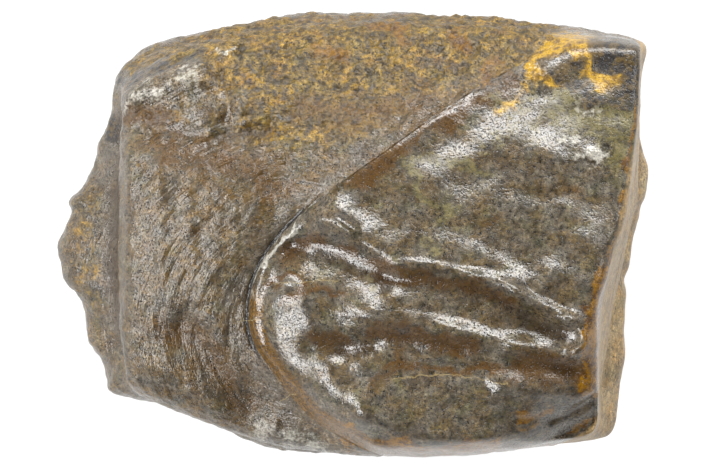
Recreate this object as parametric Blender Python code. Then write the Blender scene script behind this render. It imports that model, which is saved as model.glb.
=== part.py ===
"""A shed Triceratops tooth, one worn and resorbed fossil piece, lying on its unenamelled side.

Axes: +X runs from the resorbed root end to the wear facet, +Y from the near side to the far side,
and +Z up through the enamelled face. The origin is on the resting surface, under the middle.
Sizes are in millimetres, and MM turns them to metres when a vertex is placed.
"""

from dataclasses import dataclass
from enum import Enum

import bmesh
import bpy
import numpy as np

MM = 0.001

# Cells of the block along X, Y and Z before it is shaped
CELLS_X = 46
CELLS_Y = 36
CELLS_Z = 10

# Heights of the four loops as shares of the block's height: waist and belly lie on rows of cells
RIM_SHARE = 1.0
WAIST_SHARE = 5 / CELLS_Z
BELLY_SHARE = 3 / CELLS_Z
FOOT_SHARE = 0.0

CROWN_BULGE = 1.3
FOOT_HEIGHT = 0.9
FOOT_SCALE = 0.76
SOLE_BULGE = 1.25
WALL_SMOOTHINGS = 5
SPLINE_STEPS = 12

# A stroke fades out where the surface turns away: cosines of the turn where it stops and where it is full
GRAZING = 0.1
SQUARE_ON = 0.6

FOSSIL_BROWN = (0.19, 0.14, 0.09, 1.0)
FOSSIL_ROUGHNESS = 0.42


@dataclass(frozen=True)
class Loop:
    """A level round the tooth: four corners, and the points between them on each side."""

    near_root: tuple
    near_wear: tuple
    far_root: tuple
    far_wear: tuple
    near: list
    far: list
    root: list
    wear: list

    def near_line(self):
        return [self.near_root, *self.near, self.near_wear]

    def far_line(self):
        return [self.far_root, *self.far, self.far_wear]

    def root_line(self):
        return [self.near_root, *self.root, self.far_root]

    def wear_line(self):
        return [self.near_wear, *self.wear, self.far_wear]


# The edge of the upper face: the cutting edge on the wear side, soft shoulders elsewhere
RIM = Loop(
    near_root=(-9.1, -6.0, 7.7),
    near_wear=(9.7, -8.0, 9.9),
    far_root=(-9.2, 6.0, 8.2),
    far_wear=(11.5, 7.9, 10.2),
    near=[(-7.6, -6.7, 7.8), (-4.1, -8.1, 7.9), (-1.6, -8.6, 8.5), (1.2, -8.8, 9.3), (5.0, -8.7, 9.9)],
    far=[(-7.3, 7.1, 8.8), (-4.8, 7.9, 9.2), (-0.3, 8.4, 9.4), (4.8, 8.3, 9.5), (8.3, 8.0, 9.8)],
    root=[(-9.2, -4.2, 8.7), (-9.0, -0.6, 9.5), (-9.0, 2.6, 9.5), (-9.2, 4.9, 8.8)],
    wear=[
        (9.7, -5.6, 11.0),
        (9.7, -3.2, 11.3),
        (10.0, -1.8, 11.4),
        (10.7, 0.5, 11.3),
        (11.1, 2.8, 11.1),
        (11.3, 4.8, 10.8),
    ],
)

# The foot of the wear facet on one end, and the hollow between the two root lobes on the other
WAIST = Loop(
    near_root=(-9.4, -6.1, 5.0),
    near_wear=(9.9, -8.0, 4.8),
    far_root=(-9.4, 6.5, 5.4),
    far_wear=(11.5, 7.7, 5.2),
    near=[(-6.2, -7.6, 5.0), (-2.8, -8.7, 4.8), (1.6, -8.9, 4.8), (6.1, -8.7, 4.8)],
    far=[(-7.3, 7.7, 5.4), (-2.8, 8.7, 5.4), (2.3, 8.9, 5.3), (7.4, 8.6, 5.2)],
    root=[(-10.2, -3.6, 5.6), (-10.6, -0.4, 5.8), (-10.3, 2.4, 5.7), (-9.8, 4.9, 5.5)],
    wear=[(10.0, -5.9, 4.9), (10.4, -3.8, 5.0), (10.8, -1.7, 5.1), (11.1, -0.2, 5.1), (11.5, 2.8, 5.2)],
)

# The widest level: the lower root lobe juts out at one end, the shelf under the facet at the other
BELLY = Loop(
    near_root=(-10.1, -6.4, 3.6),
    near_wear=(10.4, -8.4, 3.4),
    far_root=(-9.6, 6.9, 3.8),
    far_wear=(12.0, 8.0, 3.9),
    near=[(-8.0, -7.2, 3.5), (-5.0, -8.4, 3.5), (-2.4, -9.0, 3.4), (3.6, -9.1, 3.5), (8.2, -8.6, 3.4)],
    far=[(-7.4, 7.9, 3.9), (-2.8, 8.9, 4.0), (2.3, 9.1, 3.9), (7.4, 8.8, 3.9)],
    root=[
        (-10.7, -4.3, 3.7),
        (-11.3, -2.3, 3.9),
        (-12.1, -0.6, 4.1),
        (-11.5, 1.2, 4.1),
        (-10.5, 2.9, 4.0),
        (-10.0, 4.6, 3.9),
    ],
    wear=[
        (10.8, -6.6, 3.5),
        (11.1, -4.2, 3.6),
        (11.1, -2.0, 3.7),
        (11.8, 0.8, 3.8),
        (12.1, 2.6, 3.9),
        (11.7, 4.8, 3.9),
    ],
)


class Face(Enum):
    """A face that a stroke is drawn on, seen square on: the axis it faces along, and which way."""

    UPPER = (2, 1)
    SOLE = (2, -1)
    ROOT_END = (0, -1)
    NEAR_SIDE = (1, -1)
    FAR_SIDE = (1, 1)


@dataclass(frozen=True)
class Stroke:
    """One pass of a round brush along a line on a face: a ridge if it lifts, a groove if it sinks."""

    face: Face
    line: list
    lift: float
    reach: float


# The border of the enamel, from the far wear corner round the crown base to the near side, enamel on its left
ENAMEL_BORDER = [
    (13.0, 8.6),
    (9.9, 8.3),
    (7.1, 7.0),
    (3.1, 4.6),
    (-0.1, 2.3),
    (-2.9, -0.1),
    (-3.8, -1.6),
    (-4.1, -3.3),
    (-3.5, -4.9),
    (-1.6, -7.2),
    (0.6, -8.5),
    (2.8, -9.2),
    (13.0, -9.4),
]
ENAMEL_RISE = 0.55
ENAMEL_EDGE = 0.6

# The crest of the primary ridge, from the crown base to the cutting edge
CREST_LINE = [
    (-2.1, 0.5),
    (-0.9, 0.7),
    (-0.1, 0.0),
    (1.3, -0.9),
    (5.1, -1.5),
    (6.9, -2.3),
    (9.2, -3.9),
]

# The smooth valley between the root and the enamel's border
BASE_VALLEY = [
    (7.7, 7.9),
    (3.1, 5.2),
    (-0.9, 2.2),
    (-3.4, -0.2),
    (-4.4, -2.0),
    (-4.6, -3.8),
    (-3.7, -5.9),
    (-1.2, -8.2),
]

CROWN_STROKES = [
    Stroke(Face.UPPER, BASE_VALLEY, lift=-0.45, reach=0.65),
    Stroke(Face.UPPER, CREST_LINE, lift=0.45, reach=0.8),
    # The step below the crest
    Stroke(Face.UPPER, [(-2.2, -0.5), (-0.7, -0.9), (2.0, -2.2), (8.3, -4.0)], lift=-0.45, reach=0.8),
    # The second crest, on the near side of the primary ridge
    Stroke(Face.UPPER, [(0.7, -3.1), (2.5, -3.3), (6.1, -4.2), (8.8, -4.3)], lift=0.40, reach=0.7),
    # The valley below the primary ridge, and the near lobe that swells out of it
    Stroke(Face.UPPER, [(-1.3, -4.6), (0.7, -4.2), (3.1, -4.7), (8.9, -5.6)], lift=-0.35, reach=0.7),
    Stroke(Face.UPPER, [(-0.9, -6.4), (1.9, -6.9), (6.5, -7.0)], lift=0.25, reach=1.1),
    # The dish inside the far border, and the far lobe
    Stroke(Face.UPPER, [(0.3, 1.6), (1.9, 2.9), (6.7, 5.8)], lift=-0.30, reach=0.6),
    Stroke(Face.UPPER, [(3.5, 1.6), (7.0, 2.6)], lift=0.25, reach=2.0),
    # The chipped near corner of the cutting edge
    Stroke(Face.UPPER, [(7.2, -8.2), (9.0, -7.8), (10.8, -7.6)], lift=-1.0, reach=1.4),
]

ROOT_STROKES = [
    # The flange at the far corner: its ridge, and the ledge groove outside it
    Stroke(Face.UPPER, [(-9.4, 5.3), (-8.1, 5.9), (-6.1, 6.5)], lift=0.40, reach=0.55),
    Stroke(Face.UPPER, [(-9.6, 6.0), (-8.5, 6.5), (-7.4, 7.0), (-5.5, 7.6)], lift=-0.35, reach=0.35),
    # The furrow beside the flange, the boss beyond it and the hollow at the near corner
    Stroke(Face.UPPER, [(-8.4, 4.3), (-7.1, 4.0), (-5.5, 3.9), (-3.6, 4.2)], lift=-0.40, reach=0.6),
    Stroke(Face.UPPER, [(-4.3, 5.4), (-3.7, 5.0)], lift=0.30, reach=0.9),
    Stroke(Face.UPPER, [(-6.6, -3.9), (-5.6, -5.4), (-4.0, -7.0)], lift=-0.35, reach=0.9),
    # The resorbed end: the hollow between its two lobes, and the keel of the lower one
    Stroke(Face.ROOT_END, [(-4.6, 6.3), (0.0, 6.8), (4.4, 6.4)], lift=-0.9, reach=1.1),
    Stroke(Face.ROOT_END, [(-3.6, 3.6), (0.0, 4.0), (2.6, 3.9)], lift=0.25, reach=0.7),
]

SIDE_STROKES = [
    # A long flute down each side, and two along the sole where the root forks
    Stroke(Face.NEAR_SIDE, [(-7.0, 4.6), (0.0, 5.2), (6.0, 4.8)], lift=-0.45, reach=1.5),
    Stroke(Face.FAR_SIDE, [(-6.0, 5.6), (1.0, 5.9), (7.0, 5.6)], lift=-0.35, reach=1.4),
    Stroke(Face.SOLE, [(-9.0, -3.2), (-5.0, -3.7), (1.0, -4.8)], lift=-0.50, reach=1.0),
    Stroke(Face.SOLE, [(-9.0, 2.8), (-4.0, 4.0), (4.0, 5.0)], lift=-0.50, reach=1.1),
]


def clear_scene():
    for old in list(bpy.data.objects):
        bpy.data.objects.remove(old)


def spline(points, shares):
    """Points of a Catmull-Rom curve through the given ones, at shares of its length."""
    knots = np.array(points, float)
    padded = np.vstack([2 * knots[0] - knots[1], knots, 2 * knots[-1] - knots[-2]])
    t = np.linspace(0, 1, SPLINE_STEPS, endpoint=False)[:, None]
    dense = []
    for a, b, c, d in zip(padded, padded[1:], padded[2:], padded[3:]):
        bend = 2 * a - 5 * b + 4 * c - d
        twist = 3 * b - a - 3 * c + d
        dense.append(b + 0.5 * ((c - a) * t + bend * t**2 + twist * t**3))
    dense = np.vstack([*dense, knots[-1:]])
    steps = np.linalg.norm(np.diff(dense, axis=0), axis=1)
    length = np.concatenate([[0], np.cumsum(steps)]) / steps.sum()
    return np.stack([np.interp(shares, length, dense[:, axis]) for axis in range(3)], axis=-1)


def foot_of(loop):
    """The loop under the belly where the tooth turns in to its sole."""

    def inset(point):
        return (point[0] * FOOT_SCALE, point[1] * FOOT_SCALE, FOOT_HEIGHT)

    corners = [inset(c) for c in (loop.near_root, loop.near_wear, loop.far_root, loop.far_wear)]
    sides = [[inset(p) for p in side] for side in (loop.near, loop.far, loop.root, loop.wear)]
    return Loop(*corners, *sides)


def cover(loop, u, v, bulge):
    """A face spanned between a loop's four sides, swollen by bulge in its middle."""
    near, far = spline(loop.near_line(), u), spline(loop.far_line(), u)
    root, wear = spline(loop.root_line(), v), spline(loop.wear_line(), v)
    u, v = u[:, None], v[:, None]
    corners = (
        (1 - u) * (1 - v) * np.array(loop.near_root)
        + u * (1 - v) * np.array(loop.near_wear)
        + (1 - u) * v * np.array(loop.far_root)
        + u * v * np.array(loop.far_wear)
    )
    face = (1 - v) * near + v * far + (1 - u) * root + u * wear - corners
    face[:, 2] += bulge * (1 - (2 * u[:, 0] - 1) ** 2) * (1 - (2 * v[:, 0] - 1) ** 2)
    return face


def wall(loops, side, along, height):
    """Points of one side wall: a quarter round up from the foot, then straight from loop to loop."""
    levels = np.array([FOOT_SHARE, BELLY_SHARE, WAIST_SHARE, RIM_SHARE])
    rings = np.stack([spline(side(loop), along) for loop in loops])
    lower = np.clip(np.searchsorted(levels, height, side="right") - 1, 0, len(levels) - 2)
    share = (height - levels[lower]) / (levels[lower + 1] - levels[lower])
    turn = np.where(lower == 0, np.sin(share * np.pi / 2), share)
    climb = np.where(lower == 0, 1 - np.cos(share * np.pi / 2), share)
    steps = np.stack([turn, turn, climb], axis=-1)
    row = np.arange(len(along))
    return rings[lower, row] * (1 - steps) + rings[lower + 1, row] * steps


def loft(block):
    """Places the block's points, each coordinate from 0 to 1, on the tooth's loops and faces."""
    u, v, w = block.T
    loops = [foot_of(BELLY), BELLY, WAIST, RIM]
    placed = np.empty_like(block)
    faces = [
        (w == 0, lambda at: cover(loops[0], u[at], v[at], -SOLE_BULGE)),
        (w == 1, lambda at: cover(RIM, u[at], v[at], CROWN_BULGE)),
        (v == 0, lambda at: wall(loops, Loop.near_line, u[at], w[at])),
        (v == 1, lambda at: wall(loops, Loop.far_line, u[at], w[at])),
        (u == 0, lambda at: wall(loops, Loop.root_line, v[at], w[at])),
        (u == 1, lambda at: wall(loops, Loop.wear_line, v[at], w[at])),
    ]
    for at, place in faces:
        placed[at] = place(at)
    return placed


def distance_to(line, points):
    """How far each point is from a line of straight pieces, and its side: positive on the left."""
    best = np.full(len(points), np.inf)
    side = np.ones(len(points))
    for a, b in zip(line, line[1:]):
        a, b = np.array(a, float), np.array(b, float)
        run = b - a
        share = np.clip(((points - a) @ run) / (run @ run), 0, 1)
        off = points - (a + share[:, None] * run)
        far = np.linalg.norm(off, axis=1)
        nearer = far < best
        best[nearer] = far[nearer]
        side[nearer] = np.sign(run[0] * off[nearer, 1] - run[1] * off[nearer, 0])
    return best, side


def soft_step(x):
    x = np.clip(x, 0, 1)
    return x * x * (3 - 2 * x)


def facing(normals, face):
    """How squarely each point faces the same way as a face of the tooth, from 0 to 1."""
    axis, sign = face.value
    return soft_step((normals[:, axis] * sign - GRAZING) / (SQUARE_ON - GRAZING))


def brush(places, normals, stroke):
    """Moves the points near a stroke along the axis of its face."""
    axis, sign = stroke.face.value
    plane = [i for i in range(3) if i != axis]
    far, _ = distance_to(stroke.line, places[:, plane])
    weight = np.exp(-((far / stroke.reach) ** 2)) * facing(normals, stroke.face)
    places[:, axis] += sign * stroke.lift * weight


def raise_enamel(places, normals):
    """Stands the enamelled crown above the root."""
    far, side = distance_to(ENAMEL_BORDER, places[:, :2])
    inside = soft_step(0.5 + 0.5 * side * far / ENAMEL_EDGE)
    places[:, 2] += ENAMEL_RISE * inside * facing(normals, Face.UPPER)


def block_mesh():
    """A block of square cells, with corners at 0 and 1."""
    bm = bmesh.new()
    bmesh.ops.create_cube(bm, size=1.0)
    bmesh.ops.translate(bm, verts=bm.verts, vec=(0.5, 0.5, 0.5))
    for axis, cells in enumerate((CELLS_X, CELLS_Y, CELLS_Z)):
        lengthways = [e for e in bm.edges if abs(e.verts[0].co[axis] - e.verts[1].co[axis]) > 0.5]
        bmesh.ops.subdivide_edges(bm, edges=lengthways, cuts=cells - 1, use_grid_fill=True)
    return bm


def coordinates(bm):
    return np.array([v.co for v in bm.verts], float)


def normals_of(bm):
    bm.normal_update()
    return np.array([v.normal for v in bm.verts], float)


def put(bm, places):
    for vert, place in zip(bm.verts, places):
        vert.co = place


def soften_walls(bm, block):
    """Rounds the loft's creases, but keeps the wear facet flat, its cutting edge and the sole."""
    u, v, w = block.T
    facet = (u == 1) & (w >= WAIST_SHARE) & (v > 0) & (v < 1)
    sole = (w == 0) & (u > 0) & (u < 1) & (v > 0) & (v < 1)
    soft = [vert for vert, kept in zip(bm.verts, facet | sole) if not kept]
    for _ in range(WALL_SMOOTHINGS):
        bmesh.ops.smooth_vert(bm, verts=soft, factor=0.5, use_axis_x=True, use_axis_y=True, use_axis_z=True)


def shape_tooth():
    """The tooth's mesh: a block lofted to the tooth's outline, then brushed with its ridges and hollows."""
    bm = block_mesh()
    block = np.round(coordinates(bm) * (CELLS_X, CELLS_Y, CELLS_Z)) / (CELLS_X, CELLS_Y, CELLS_Z)
    put(bm, loft(block))
    soften_walls(bm, block)
    places, normals = coordinates(bm), normals_of(bm)
    raise_enamel(places, normals)
    for stroke in [*CROWN_STROKES, *ROOT_STROKES, *SIDE_STROKES]:
        brush(places, normals, stroke)
    places[:, :2] -= (places.min(axis=0) + places.max(axis=0))[:2] / 2
    places[:, 2] = np.maximum(places[:, 2], 0)
    put(bm, places)
    bmesh.ops.scale(bm, verts=bm.verts, vec=(MM, MM, MM))
    bmesh.ops.recalc_face_normals(bm, faces=bm.faces)
    mesh = bpy.data.meshes.new("triceratops_tooth")
    bm.to_mesh(mesh)
    bm.free()
    return mesh


def fossil_material():
    material = bpy.data.materials.new("fossil")
    material.use_nodes = True
    shader = material.node_tree.nodes["Principled BSDF"]
    shader.inputs["Base Color"].default_value = FOSSIL_BROWN
    shader.inputs["Roughness"].default_value = FOSSIL_ROUGHNESS
    shader.inputs["Metallic"].default_value = 0.0
    return material


def main():
    clear_scene()
    tooth = bpy.data.objects.new("triceratops_tooth", shape_tooth())
    tooth.data.materials.append(fossil_material())
    tooth.data.shade_smooth()
    bpy.context.scene.collection.objects.link(tooth)


main()
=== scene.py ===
"""Dresses a shed fossil Triceratops tooth: its fine surface, its finishes, and a plain studio around it.

The tooth lies on its unenamelled side. Lengths are in millimetres here, and MM turns them to metres where a
point goes into a mesh. +X runs from the root end to the wear facet, +Y to the far side, and +Z up.
"""

import logging
import math
from dataclasses import dataclass
from enum import Enum

import bmesh
import bpy
import numpy as np
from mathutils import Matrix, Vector, noise

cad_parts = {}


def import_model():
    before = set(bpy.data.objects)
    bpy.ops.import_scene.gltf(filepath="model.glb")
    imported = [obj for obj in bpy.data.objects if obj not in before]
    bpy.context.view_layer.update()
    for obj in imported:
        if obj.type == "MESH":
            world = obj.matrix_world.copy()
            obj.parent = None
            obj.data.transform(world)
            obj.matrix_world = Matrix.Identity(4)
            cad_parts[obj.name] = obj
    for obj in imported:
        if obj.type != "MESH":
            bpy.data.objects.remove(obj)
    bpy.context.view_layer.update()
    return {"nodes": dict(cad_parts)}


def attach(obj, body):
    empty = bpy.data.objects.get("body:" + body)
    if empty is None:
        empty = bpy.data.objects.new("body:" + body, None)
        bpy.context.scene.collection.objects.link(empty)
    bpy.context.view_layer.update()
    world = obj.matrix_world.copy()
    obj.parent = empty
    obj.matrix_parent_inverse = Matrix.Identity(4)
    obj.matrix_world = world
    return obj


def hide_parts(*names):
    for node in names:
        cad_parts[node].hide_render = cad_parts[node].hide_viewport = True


LOG = logging.getLogger("tooth")

MM = 0.001
NODE = "triceratops_tooth"

IMAGE_WIDTH = 708
IMAGE_HEIGHT = 472
CENTRE_PIXEL = (352, 235)
PIXELS_PER_MM = 25

BASE_COLOUR_SHARE = 0.68
BUMP_MM = 0.1

Line = tuple[tuple[float, float], ...]
Colour = tuple[float, float, float, float]


def shade(red: int, green: int, blue: int) -> Colour:
    """Turns a screen colour into the linear one that shaders take.

    Args:
        red, green, blue: the screen colour's parts, from 0 to 255.

    Returns:
        The linear colour, with an alpha of 1.
    """

    def linear(part: int) -> float:
        """One part of the colour."""
        value = part / 255
        return value / 12.92 if value <= 0.04045 else ((value + 0.055) / 1.055) ** 2.4

    return (linear(red), linear(green), linear(blue), 1.0)


def grey(level: float) -> Colour:
    """A linear grey."""
    return (level, level, level, 1.0)


def soft_step(share: np.ndarray) -> np.ndarray:
    """Eases from 0 to 1, and stays there outside that range."""
    held = np.clip(share, 0, 1)
    return held * held * (3 - 2 * held)


def between(values: np.ndarray, low: float, high: float) -> np.ndarray:
    """Eases from 0 at low to 1 at high."""
    return soft_step((values - low) / (high - low))


class Face(Enum):
    """A face of the tooth that is carved square on: the axis it faces along, and which way."""

    UPPER = (2, 1)
    ROOT_END = (0, -1)
    WEAR_END = (0, 1)
    FAR_SIDE = (1, 1)


@dataclass(frozen=True)
class Curve:
    """A smooth line through a few points on a face.

    Attributes:
        points: the points, each as the face's two coordinates in X, Y, Z order.
        steps: how many straight pieces stand for each span between two points.
    """

    points: Line
    steps: int = 5

    def run(self) -> np.ndarray:
        """The line's own points, close enough together to pass for a curve."""
        knots = np.array(self.points, float)
        padded = np.vstack([2 * knots[0] - knots[1], knots, 2 * knots[-1] - knots[-2]])
        t = np.linspace(0, 1, self.steps, endpoint=False)[:, None]
        dense = []
        for a, b, c, d in zip(padded, padded[1:], padded[2:], padded[3:]):
            bend = 2 * a - 5 * b + 4 * c - d
            twist = 3 * b - a - 3 * c + d
            dense.append(b + 0.5 * ((c - a) * t + bend * t**2 + twist * t**3))
        return np.vstack([*dense, knots[-1:]])

    def measure(self, spots: np.ndarray) -> tuple[np.ndarray, np.ndarray]:
        """Measures how far spots are from the line.

        Args:
            spots: points on the same face, two coordinates each.

        Returns:
            Each spot's distance, and its side: 1 on the left of the line and -1 on the right.
        """
        line = self.run()
        best = np.full(len(spots), np.inf)
        side = np.ones(len(spots))
        for a, b in zip(line, line[1:]):
            run = b - a
            share = np.clip(((spots - a) @ run) / (run @ run), 0, 1)
            off = spots - (a + share[:, None] * run)
            far = np.hypot(off[:, 0], off[:, 1])
            nearer = far < best
            best[nearer] = far[nearer]
            side[nearer] = np.where(run[0] * off[nearer, 1] >= run[1] * off[nearer, 0], 1, -1)
        return best, side

    def glow(self, spots: np.ndarray, reach: float, right_reach: float | None = None) -> np.ndarray:
        """How strongly a soft brush, drawn along the line, touches each spot.

        Args:
            spots: points on the same face, two coordinates each.
            reach: how far from the line the brush fades out.
            right_reach: the reach on the right of the line, where it isn't the same.

        Returns:
            A share for each spot: 1 on the line and almost 0 beyond three times the reach.
        """
        right = reach if right_reach is None else right_reach
        line = self.run()
        margin = 3 * max(reach, right)
        near = np.all((spots > line.min(axis=0) - margin) & (spots < line.max(axis=0) + margin), axis=1)
        shares = np.zeros(len(spots))
        far, side = self.measure(spots[near])
        shares[near] = np.exp(-((far / np.where(side > 0, reach, right)) ** 2))
        return shares


class Surface:
    """The tooth's fine surface while it is carved: its points and their normals, in millimetres."""

    def __init__(self, mesh: bpy.types.Mesh, room: tuple[np.ndarray, np.ndarray]) -> None:
        """Reads the surface of a mesh.

        Args:
            mesh: the mesh, in metres, which settle() writes back to.
            room: the lowest and highest corner of the box that its points stay in, in millimetres.
        """
        self.mesh = mesh
        self.places = self.read(mesh.vertices, "co") / MM
        self.low, self.high = room
        self.normals = np.zeros_like(self.places)
        self.settle()

    @staticmethod
    def read(rows: bpy.types.bpy_prop_collection, name: str) -> np.ndarray:
        """Reads one vector of each row of a mesh's data."""
        values = np.empty(len(rows) * 3)
        rows.foreach_get(name, values)
        return values.reshape(-1, 3)

    def settle(self) -> None:
        """Writes the points to the mesh, within their room, and reads the normals again."""
        self.places = np.clip(self.places, self.low, self.high)
        self.mesh.vertices.foreach_set("co", (self.places * MM).ravel())
        self.mesh.update()
        self.normals = self.read(self.mesh.vertex_normals, "vector")

    def flat(self, face: Face) -> np.ndarray:
        """The points as seen square on to a face, two coordinates each."""
        axis, _ = face.value
        return np.delete(self.places, axis, axis=1)

    def facing(self, face: Face, grazing: float = 0.1, full: float = 0.6) -> np.ndarray:
        """How squarely each point faces as a face does, from 0 at grazing to 1 at full."""
        axis, sign = face.value
        return between(self.normals[:, axis] * sign, grazing, full)

    def push(self, face: Face, amount: np.ndarray) -> None:
        """Moves the points out along a face's axis."""
        axis, sign = face.value
        self.places[:, axis] += sign * amount * self.facing(face)

    def swell(self, amount: np.ndarray) -> None:
        """Moves the points out along their normals."""
        self.places += self.normals * amount[:, None]

    def hollow(self, rounds: int) -> np.ndarray:
        """How deep each point lies under its surroundings, in millimetres.

        Args:
            rounds: how many times the points are averaged with their neighbours, to find the surroundings.
        """
        ends = np.empty(len(self.mesh.edges) * 2, np.int32)
        self.mesh.edges.foreach_get("vertices", ends)
        ends = ends.reshape(-1, 2)
        start = np.concatenate([ends[:, 0], ends[:, 1]])
        end = np.concatenate([ends[:, 1], ends[:, 0]])
        count = np.bincount(start, minlength=len(self.places))
        smooth = self.places.copy()
        for _ in range(rounds):
            for axis in range(3):
                total = np.bincount(start, weights=smooth[end, axis], minlength=len(smooth))
                smooth[:, axis] = 0.5 * smooth[:, axis] + 0.5 * total / count
        return ((smooth - self.places) * self.normals).sum(axis=1)

    def rough(self, size: tuple[float, float, float], seed: float) -> np.ndarray:
        """Smooth random lumps.

        Args:
            size: how big the lumps are along X, Y and Z.
            seed: shifts the lumps to others.

        Returns:
            A value for each point, from about -1 to 1.
        """
        shifted = self.places / np.array(size) + seed
        return np.array([noise.noise(Vector(place)) for place in shifted])

    def pitted(self, size: float, seed: float) -> np.ndarray:
        """Round grains side by side: 1 in the middle of each grain, and about 0 between them."""
        shifted = self.places / size + seed
        nearest = np.array([noise.voronoi(Vector(place))[0][0] for place in shifted])
        return 1 - np.clip(nearest, 0, 1)


@dataclass(frozen=True)
class Stroke:
    """A pass of a round brush along a curve on one face.

    Attributes:
        face: the face it is drawn on.
        points: the curve's points.
        lift: how far it raises the middle of the line; below 0 it cuts a groove.
        reach: how far from the line it fades out.
        right_reach: the reach on the right of the line, where it isn't the same.
    """

    face: Face
    points: Line
    lift: float
    reach: float
    right_reach: float | None = None

    def carve(self, surface: Surface) -> None:
        """Carves the stroke into a surface."""
        touch = Curve(self.points).glow(surface.flat(self.face), self.reach, self.right_reach)
        surface.push(self.face, self.lift * touch)


def strokes_on(face: Face, *rows: tuple) -> list[Stroke]:
    """Strokes on one face.

    Args:
        face: the face they are drawn on.
        rows: each stroke's points, lift and reach, and its reach on the right where it isn't the same.

    Returns:
        The strokes, in the rows' order.
    """
    return [Stroke(face, *row) for row in rows]


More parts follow.
